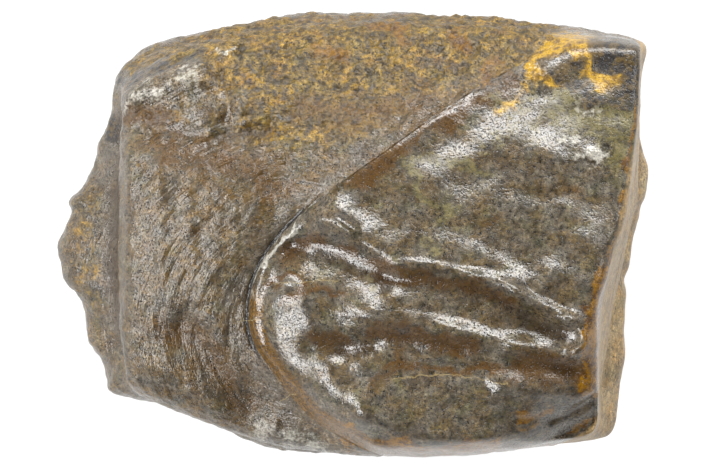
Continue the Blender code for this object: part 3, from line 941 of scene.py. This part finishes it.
class FossilMaterial:
    """The tooth's one material: enamel, dentine, facet and crust, with their stains and their painted shade
    and highlights, in one shader.
    """

    def __init__(self) -> None:
        """Makes the material and the values that its layers share."""
        self.material = bpy.data.materials.new("fossil")
        self.material.use_nodes = True
        self.nodes = Nodes(self.material.node_tree)
        self.shader = self.material.node_tree.nodes["Principled BSDF"]
        place = self.nodes.add("ShaderNodeTexCoord").outputs["Object"]
        self.at = self.nodes.vector("MULTIPLY", place, (1 / MM, 1 / MM, 1 / MM))
        self.warmth = self.nodes.noise(self.nodes.vector("ADD", self.at, (40.0, 0.0, 0.0)), 1.5, 4.0, 0.6)
        self.hue = self.nodes.noise(self.nodes.vector("ADD", self.at, (0.0, 60.0, 0.0)), 1.2, 4.0, 0.6)
        self.blotches = self.nodes.noise(self.at, 1.9, 5.0, 0.62)
        self.grain = self.nodes.noise(self.at, 6.0, 3.0, 0.65)
        self.speck = self.nodes.noise(self.at, 15.0, 1.0, 0.5)
        self.clumps = self.nodes.noise(self.nodes.vector("ADD", self.at, (0.0, 0.0, 80.0)), 3.2, 3.0, 0.6)
        patchy = self.nodes.ease(self.blotches, 0.35, 0.62)
        # Pale specks in the blotchier patches, partly painted glints
        self.pale_specks_and_glints = self.nodes.times(self.nodes.ease(self.speck, 0.56, 0.72), patchy)
        self.dark_specks = self.nodes.ease(self.speck, 0.42, 0.27)
        self.inside = self.nodes.attribute("enamel_mm")
        self.enamel = self.nodes.ease(self.inside, -0.03, 0.05)
        self.facet = self.nodes.attribute("facet")
        self.glassy = self.nodes.attribute("glassy")
        self.gold = self.mask(Tint.GOLD, 0.5)

    def mask(self, tint: Tint, breakup: float) -> bpy.types.NodeSocket:
        """Where a stain, painted shade or painted highlight shows: its painted share, broken up at its edges
        by the blotches and the grain.
        """
        nodes = self.nodes
        ragged = nodes.plus(nodes.times(self.blotches, 0.5), nodes.times(self.grain, 0.5))
        shifted = nodes.times(nodes.math("SUBTRACT", ragged, 0.5), breakup * 3)
        return nodes.ease(nodes.plus(nodes.attribute(tint.value), shifted), 0.25, 0.80)

    def waver(self, reach: float) -> bpy.types.NodeSocket:
        """The blotches as a shift either way, which makes an edge waver."""
        return self.nodes.times(self.nodes.math("SUBTRACT", self.blotches, 0.5), reach)

    def speckled(self, colour: object, amount: float) -> bpy.types.NodeSocket:
        """A colour lightened and darkened by the finest grain, whose pale specks are partly painted glints.
        """
        nodes = self.nodes
        drift = nodes.times(nodes.math("SUBTRACT", self.grain, 0.52), amount * 3.6)
        specks = nodes.times(nodes.math("SUBTRACT", self.pale_specks_and_glints, self.dark_specks), amount)
        return nodes.scaled(colour, nodes.plus(nodes.plus(drift, specks), 1.0))

    def layer(self, finish: Finish) -> bpy.types.NodeSocket:
        """A finish's colour, which drifts between its four shades in patches."""
        nodes = self.nodes
        colour = nodes.mix(nodes.ease(self.warmth, 0.34, 0.66), finish.cool, finish.warm)
        colour = nodes.mix(nodes.times(nodes.ease(self.hue, 0.50, 0.70), 0.5), colour, finish.mossy)
        colour = nodes.mix(nodes.times(nodes.ease(self.hue, 0.48, 0.30), 0.55), colour, finish.ruddy)
        colour = nodes.scaled(colour, nodes.blend(nodes.ease(self.blotches, 0.38, 0.60), 0.70, 1.12))
        return self.speckled(colour, finish.speckle)

    def colour(self) -> bpy.types.NodeSocket:
        """The whole colour, from the body of the tooth out to its stains, its painted shade and its painted
        highlights.
        """
        nodes = self.nodes
        body = self.layer(DENTINE)
        clumped = nodes.blend(nodes.ease(self.clumps, 0.36, 0.60), 0.42, 1.35)
        body = nodes.mix(self.gold, body, nodes.scaled(self.layer(CRUST), clumped))
        # Painted sheen: grey bands on the bank outside the enamel's border, at the root end and at the near
        # rim, and a small grey patch on the end's shoulder
        body = self.lay_stain_or_painted_light(body, Tint.SHEEN_AND_GREY_PATCH, shade(102, 95, 86), 0.5, 0.5)
        body = nodes.mix(self.enamel, body, self.layer(ENAMEL))
        # Dark brown stain, and painted shade in hollows and grooves, under the ridges and on the root's
        # darker stretches
        body = self.lay_stain_or_painted_light(body, Tint.BROWN, shade(88, 59, 18), 0.5, 0.8)
        clotted = nodes.ease(self.clumps, 0.44, 0.60)
        moss = nodes.mix(clotted, shade(116, 106, 54), shade(72, 64, 30))
        body = self.lay_stain_or_painted_light(body, Tint.MOSS, moss, 0.8, 0.7)
        # Pale patches: painted highlights on the flange, along the glassy lip and at the near rim, painted
        # glints on the far lobe, and a few plain pale flecks beside the flange
        body = self.lay_stain_or_painted_light(body, Tint.PALE_FLECK_AND_HIGHLIGHT, shade(196, 192, 180), 0.8, 0.75)
        mustard = nodes.mix(clotted, shade(196, 152, 20), shade(130, 96, 22))
        body = self.lay_stain_or_painted_light(body, Tint.MUSTARD, mustard, 0.6, 0.95)
        # Near-black stains, and painted shade in the flange's ledge groove and the chip's notch
        dark_stain_and_shade = nodes.mix(clotted, shade(26, 24, 28), shade(92, 74, 40))
        body = self.lay_stain_or_painted_light(body, Tint.DARK_STAIN_AND_SHADE, dark_stain_and_shade, 0.9, 0.9)
        # Orange-brown rust, partly painted shadow along the chip's scarp
        rust_and_shade = nodes.mix(clotted, shade(140, 98, 8), shade(92, 58, 6))
        body = self.lay_stain_or_painted_light(body, Tint.RUST_AND_SHADE, rust_and_shade, 0.6, 0.95)
        # Painted shade: the hollows darkened towards a warm dark brown
        body = nodes.mix(nodes.times(nodes.attribute("hollow"), 0.55), body, shade(58, 38, 12))
        # Orange-brown stain along the enamel's edge, made darker as painted shade on its steep wall
        body = nodes.mix(self.rim(), body, self.speckled(shade(104, 72, 4), 0.9))
        # Painted shadow in the gap outside the glassy lip
        body = nodes.mix(self.gap(), body, shade(26, 22, 17))
        body = nodes.mix(self.facet, body, self.layer(FACET))
        for crack in CRACKS:
            body = nodes.mix(self.crack(crack), body, shade(150, 132, 92))
        return body

    def lay_stain_or_painted_light(
        self, under: object, tint: Tint, colour: object, breakup: float, strength: float
    ) -> bpy.types.NodeSocket:
        """Lays a stain, painted shade or painted highlight over a colour, lighter and darker with the grain.
        """
        nodes = self.nodes
        share = nodes.times(self.mask(tint, breakup), strength)
        return nodes.mix(share, under, self.speckled(colour, 0.4))

    def rim(self) -> bpy.types.NodeSocket:
        """Where the enamel's edge is stained orange-brown and darkened with painted shade: a narrow band just
        inside the border.
        """
        nodes = self.nodes
        waver = self.waver(0.5)
        inner = nodes.rest(nodes.ease(nodes.plus(self.inside, waver), 0.46, 0.66))
        return nodes.times(nodes.times(inner, self.enamel), nodes.attribute("rim"))

    def gap(self) -> bpy.types.NodeSocket:
        """Where the painted shadow in the gap outside the glassy lip shows."""
        nodes = self.nodes
        waver = self.waver(0.3)
        outer = nodes.ease(nodes.plus(self.inside, waver), -0.18, -0.08)
        return nodes.times(nodes.times(outer, nodes.rest(self.enamel)), self.glassy)

    def crack(self, crack: Crack) -> bpy.types.NodeSocket:
        """Where a crack shows, as a thin line that wavers a little."""
        nodes = self.nodes
        start = np.array(crack.start)
        run = np.array(crack.end) - start
        length = float(np.hypot(*run))
        along = run / length
        from_start = nodes.vector("SUBTRACT", self.at, (start[0], start[1], 0.0))
        forth = nodes.add("ShaderNodeVectorMath", operation="DOT_PRODUCT")
        nodes.plug(forth.inputs[0], from_start)
        nodes.plug(forth.inputs[1], (along[0], along[1], 0.0))
        aside = nodes.add("ShaderNodeVectorMath", operation="DOT_PRODUCT")
        nodes.plug(aside.inputs[0], from_start)
        nodes.plug(aside.inputs[1], (-along[1], along[0], 0.0))
        share = nodes.math("DIVIDE", forth.outputs["Value"], length)
        bow = nodes.times(nodes.times(share, nodes.rest(share)), 4 * crack.sag)
        waver = self.waver(0.5)
        off = nodes.math("SUBTRACT", nodes.math("SUBTRACT", aside.outputs["Value"], bow), waver)
        line = nodes.rest(nodes.ease(nodes.math("ABSOLUTE", off), crack.width * 0.4, crack.width))
        ends = nodes.times(nodes.ease(share, 0.0, 0.05), nodes.rest(nodes.ease(share, 0.95, 1.0)))
        height = nodes.add("ShaderNodeSeparateXYZ")
        nodes.plug(height.inputs[0], self.at)
        upper = nodes.ease(height.outputs["Z"], 7.0, 7.5)
        return nodes.times(nodes.times(line, ends), nodes.times(upper, 0.8))

    def wrinkles(self, heart: tuple[float, float]) -> bpy.types.NodeSocket:
        """Growth wrinkles that curve round the root's heart: fine across, and long along the curve."""
        nodes = self.nodes
        from_heart = nodes.vector("SUBTRACT", self.at, (heart[0], heart[1], 0.0))
        parts = nodes.add("ShaderNodeSeparateXYZ")
        nodes.plug(parts.inputs[0], from_heart)
        x, y = parts.outputs["X"], parts.outputs["Y"]
        flat = nodes.plus(nodes.math("POWER", x, 2.0), nodes.math("POWER", y, 2.0))
        turn = nodes.math("ARCTAN2", y, nodes.times(x, -1.0))
        ring = nodes.add("ShaderNodeCombineXYZ")
        nodes.plug(ring.inputs["X"], nodes.times(nodes.math("SQRT", flat), 5.6))
        nodes.plug(ring.inputs["Y"], nodes.times(turn, 5.5))
        nodes.plug(ring.inputs["Z"], nodes.times(parts.outputs["Z"], 2.0))
        return nodes.noise(ring.outputs[0], 1.0, 3.0, 0.6)

    def relief(self, heart: tuple[float, float]) -> bpy.types.NodeSocket:
        """The height of the finest relief, as shares of a tenth of a millimetre."""
        nodes = self.nodes
        bare = nodes.rest(self.enamel)
        wrinkled = nodes.times(nodes.times(self.wrinkles(heart), bare), 0.9)
        grains = nodes.times(nodes.times(nodes.cells(self.at, 4.5), self.gold), -0.6)
        gritty = nodes.blend(self.enamel, 0.34, 0.20)
        speckled = nodes.times(nodes.plus(self.grain, nodes.times(self.speck, 0.4)), gritty)
        pits = nodes.times(self.dark_specks, -0.16)
        return nodes.plus(nodes.plus(wrinkled, grains), nodes.plus(speckled, pits))

    def build(self, heart: tuple[float, float]) -> bpy.types.Material:
        """Joins the layers to the shader.

        Args:
            heart: the middle that the growth wrinkles curve round.

        Returns:
            The finished material.
        """
        nodes = self.nodes
        nodes.plug(self.shader.inputs["Base Color"], nodes.scaled(self.colour(), BASE_COLOUR_SHARE))
        dull = nodes.blend(self.enamel, DENTINE.roughness, ENAMEL.roughness)
        dull = nodes.blend(self.gold, dull, CRUST.roughness)
        dull = nodes.blend(self.facet, dull, FACET.roughness)
        # Dull where the dark stains with their painted shade, and the mustard, lie
        dull_stains_and_shade = nodes.math("ADD", self.mask(Tint.DARK_STAIN_AND_SHADE, 0.5), self.mask(Tint.MUSTARD, 0.5), clamp=True)
        dull = nodes.blend(dull_stains_and_shade, dull, 0.3)
        dull = nodes.blend(self.mask(Tint.MOSS, 0.7), dull, 0.38)
        varied = self.waver(0.25)
        nodes.plug(self.shader.inputs["Roughness"], nodes.plus(dull, varied))
        bump = nodes.add("ShaderNodeBump")
        bump.inputs["Strength"].default_value = 1.0
        bump.inputs["Distance"].default_value = BUMP_MM * MM
        nodes.plug(bump.inputs["Height"], self.relief(heart))
        nodes.plug(self.shader.inputs["Normal"], bump.outputs["Normal"])
        self.shader.inputs["IOR"].default_value = 1.6
        return self.material


@dataclass
class Tooth:
    """The whole tooth: carries the solid over, carves its fine surface, paints and dresses it.

    Attributes:
        crown, wear_end, root, grit: its regions, each of which carves its own forms.
        levels: how often the solid's faces are divided.
        margin: how far it may stand out of the solid's box, as a share of the box's size.
    """

    crown: Crown
    wear_end: WearEnd
    root: Root
    grit: Grit
    levels: int = 2
    margin: float = 0.015

    def merged(self, solid: bpy.types.Object) -> bpy.types.Mesh:
        """Copies the solid's mesh, with its loose triangles merged and paired to four-sided faces."""
        bm = bmesh.new()
        bm.from_mesh(solid.data)
        bmesh.ops.remove_doubles(bm, verts=bm.verts, dist=0.0005 * MM)
        bmesh.ops.join_triangles(
            bm,
            faces=bm.faces,
            angle_face_threshold=math.radians(60),
            angle_shape_threshold=math.radians(70),
        )
        mesh = bpy.data.meshes.new("tooth_merged")
        bm.to_mesh(mesh)
        bm.free()
        return mesh

    def divided(self, mesh: bpy.types.Mesh) -> bpy.types.Mesh:
        """Divides a mesh into smaller and smoother faces."""
        carrier = bpy.data.objects.new("carrier", mesh)
        bpy.context.scene.collection.objects.link(carrier)
        finer = carrier.modifiers.new("finer", "SUBSURF")
        finer.levels = self.levels
        finer.render_levels = self.levels
        evaluated = carrier.evaluated_get(bpy.context.evaluated_depsgraph_get())
        fine = bpy.data.meshes.new_from_object(evaluated)
        bpy.data.objects.remove(carrier)
        return fine

    def room(self, solid: bpy.types.Object) -> tuple[np.ndarray, np.ndarray]:
        """The box that the dressed tooth stays in: the solid's own with a margin, but not below the floor."""
        places = Surface.read(solid.data.vertices, "co") / MM
        low, high = places.min(axis=0), places.max(axis=0)
        margin = (high - low) * self.margin
        floor = low[2]
        low, high = low - margin, high + margin
        low[2] = floor
        return low, high

    def carve(self, mesh: bpy.types.Mesh, room: tuple[np.ndarray, np.ndarray]) -> Surface:
        """Carves every region into the fine mesh."""
        surface = Surface(mesh, room)
        self.crown.gather(surface)
        self.crown.carve(surface)
        self.wear_end.carve(surface)
        self.root.carve(surface)
        enamel = between(self.crown.inside(surface), -0.05, 0.10)
        gold = self.tinted(surface)[Tint.GOLD] * (1 - enamel)
        self.grit.carve(surface, self.root, enamel, self.wear_end.facet(surface), gold)
        return surface

    def tinted(self, surface: Surface) -> dict[Tint, np.ndarray]:
        """How strongly each stain, painted shade and painted highlight lies on each point; their outlines are
        ragged.
        """
        spots = surface.flat(Face.UPPER)
        coarse, fine = 0.9, 0.35
        for axis, seed in enumerate((41.3, 67.9)):
            spots[:, axis] += 0.45 * surface.rough((coarse, coarse, coarse), seed)
            spots[:, axis] += 0.22 * surface.rough((fine, fine, fine), seed)
        shares = {tint: np.zeros(len(spots)) for tint in Tint}
        upper = between(surface.places[:, 2], 3.0, 5.0)
        for tint, stains in DAUBS.items():
            for daub in stains:
                share = Curve(daub.points).glow(spots, daub.reach) * daub.strength
                shares[tint] = np.maximum(shares[tint], share)
        return {tint: share * upper for tint, share in shares.items()}

    def painted(self, surface: Surface) -> dict[str, np.ndarray]:
        """What the material reads at each point, by the name of its attribute."""
        spots = surface.flat(Face.UPPER)
        values = {tint.value: share for tint, share in self.tinted(surface).items()}
        values["enamel_mm"] = self.crown.inside(surface)
        values["facet"] = self.wear_end.facet(surface)
        # The hollows' depth, which the material darkens as painted shade
        values["hollow"] = between(surface.hollow(60), 0.03, 0.17)
        values["glassy"] = self.crown.glassy(surface)
        first, end = self.crown.stained
        values["rim"] = between(Curve(self.crown.border[first:end]).glow(spots, 1.2), 0.1, 0.6)
        return values

    def build(self, solid: bpy.types.Object) -> bpy.types.Object:
        """Builds the dressed tooth.

        Args:
            solid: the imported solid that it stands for.

        Returns:
            The dressed tooth's object, at the origin.
        """
        fine = self.divided(self.merged(solid))
        surface = self.carve(fine, self.room(solid))
        for name, value in self.painted(surface).items():
            fine.attributes.new(name, "FLOAT", "POINT").data.foreach_set("value", value.astype(np.float32))
        fine.materials.clear()
        fine.materials.append(FossilMaterial().build(self.root.heart))
        fine.shade_smooth()
        fine.name = "tooth_surface"
        tooth = bpy.data.objects.new("tooth_surface", fine)
        bpy.context.scene.collection.objects.link(tooth)
        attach(tooth, "root")
        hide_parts(NODE)
        return tooth


@dataclass(frozen=True)
class Softbox:
    """A square studio light.

    Attributes:
        name: its name.
        bearing: the compass angle that it stands at, 0 towards +Y and 90 towards +X.
        height: its angle above the horizon.
        size: its width and height in metres.
        watts: its power.
    """

    name: str
    bearing: float
    height: float
    size: tuple[float, float]
    watts: float


@dataclass(frozen=True)
class Studio:
    """A pale floor, soft light from all round and the camera that looks straight down.

    Attributes:
        lens: the camera's focal length.
        sensor: the camera's sensor width.
        focus_height: the height over the floor at which the picture has its stated scale.
        light_distance: how far the softboxes stand from the tooth, in metres.
        horizon, zenith: how bright the sky is low down and overhead.
        floor_shade, floor_glow: how pale the floor is, and how strongly it glows.
    """

    lens: float = 600.0
    sensor: float = 36.0
    focus_height: float = 6.0
    light_distance: float = 0.6
    horizon: float = 0.20
    zenith: float = 0.10
    floor_shade: float = 0.2
    floor_glow: float = 0.84
    softboxes: tuple[Softbox, ...] = (
        Softbox("far_softbox", 8, 36, (0.48, 0.22), 5.2),
        Softbox("left_softbox", -86, 38, (0.29, 0.25), 3.5),
        Softbox("near_left_softbox", -131, 36, (0.22, 0.20), 2.6),
        Softbox("right_softbox", 75, 30, (0.16, 0.14), 0.5),
        Softbox("far_right_softbox", 46, 32, (0.20, 0.16), 1.5),
    )

    def floor(self) -> bpy.types.Object:
        """The pale floor that the tooth lies on."""
        bm = bmesh.new()
        bmesh.ops.create_grid(bm, x_segments=4, y_segments=4, size=1.5)
        mesh = bpy.data.meshes.new("floor")
        bm.to_mesh(mesh)
        bm.free()
        paper = bpy.data.materials.new("paper")
        paper.use_nodes = True
        shader = paper.node_tree.nodes["Principled BSDF"]
        shader.inputs["Base Color"].default_value = grey(self.floor_shade)
        shader.inputs["Roughness"].default_value = 0.9
        shader.inputs["Emission Color"].default_value = grey(1.0)
        shader.inputs["Emission Strength"].default_value = self.floor_glow
        mesh.materials.append(paper)
        floor = bpy.data.objects.new("floor", mesh)
        bpy.context.scene.collection.objects.link(floor)
        return floor

    def sky(self) -> bpy.types.World:
        """Light from all round: bright at the horizon and dim overhead."""
        world = bpy.data.worlds.new("studio")
        world.use_nodes = True
        nodes = Nodes(world.node_tree)
        parts = nodes.add("ShaderNodeSeparateXYZ")
        nodes.plug(parts.inputs[0], nodes.add("ShaderNodeTexCoord").outputs["Generated"])
        dim = nodes.ease(parts.outputs["Z"], 0.15, 0.85)
        background = world.node_tree.nodes["Background"]
        nodes.plug(background.inputs["Color"], nodes.mix(dim, grey(self.horizon), grey(self.zenith)))
        background.inputs["Strength"].default_value = 1.0
        bpy.context.scene.world = world
        return world

    def light(self, box: Softbox) -> bpy.types.Object:
        """Hangs one softbox, turned to the tooth."""
        bearing, height = math.radians(box.bearing), math.radians(box.height)
        level = math.cos(height)
        away = Vector((math.sin(bearing) * level, math.cos(bearing) * level, math.sin(height)))
        lamp = bpy.data.lights.new(box.name, "AREA")
        lamp.shape = "RECTANGLE"
        lamp.size, lamp.size_y = box.size
        lamp.energy = box.watts
        light = bpy.data.objects.new(box.name, lamp)
        light.location = away * self.light_distance
        light.rotation_euler = away.to_track_quat("Z", "Y").to_euler()
        bpy.context.scene.collection.objects.link(light)
        return light

    def camera(self) -> bpy.types.Object:
        """Hangs the camera over the tooth, looking straight down, with +Y up the picture."""
        data = bpy.data.cameras.new("camera")
        data.lens = self.lens
        data.sensor_width = self.sensor
        width = IMAGE_WIDTH / PIXELS_PER_MM * MM
        distance = width * self.lens / self.sensor
        camera = bpy.data.objects.new("camera", data)
        right = (IMAGE_WIDTH / 2 - CENTRE_PIXEL[0]) / PIXELS_PER_MM
        up = (CENTRE_PIXEL[1] - IMAGE_HEIGHT / 2) / PIXELS_PER_MM
        camera.location = (right * MM, up * MM, self.focus_height * MM + distance)
        data.clip_start = distance / 10
        data.clip_end = distance * 10
        bpy.context.scene.collection.objects.link(camera)
        bpy.context.scene.camera = camera
        return camera

    def build(self) -> None:
        """Sets up the studio."""
        self.floor()
        self.sky()
        for box in self.softboxes:
            self.light(box)
        self.camera()
        bpy.context.scene.view_settings.view_transform = "Standard"


def main() -> None:
    """Builds the studio and the tooth."""
    logging.basicConfig(level=logging.INFO, format="%(name)s: %(message)s")
    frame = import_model()
    Studio().build()
    LOG.info("studio ready")
    tooth = Tooth(Crown(), WearEnd(), Root(), Grit()).build(frame["nodes"][NODE])
    LOG.info("%s: %d faces", tooth.name, len(tooth.data.polygons))


if __name__ == "__main__":
    main()
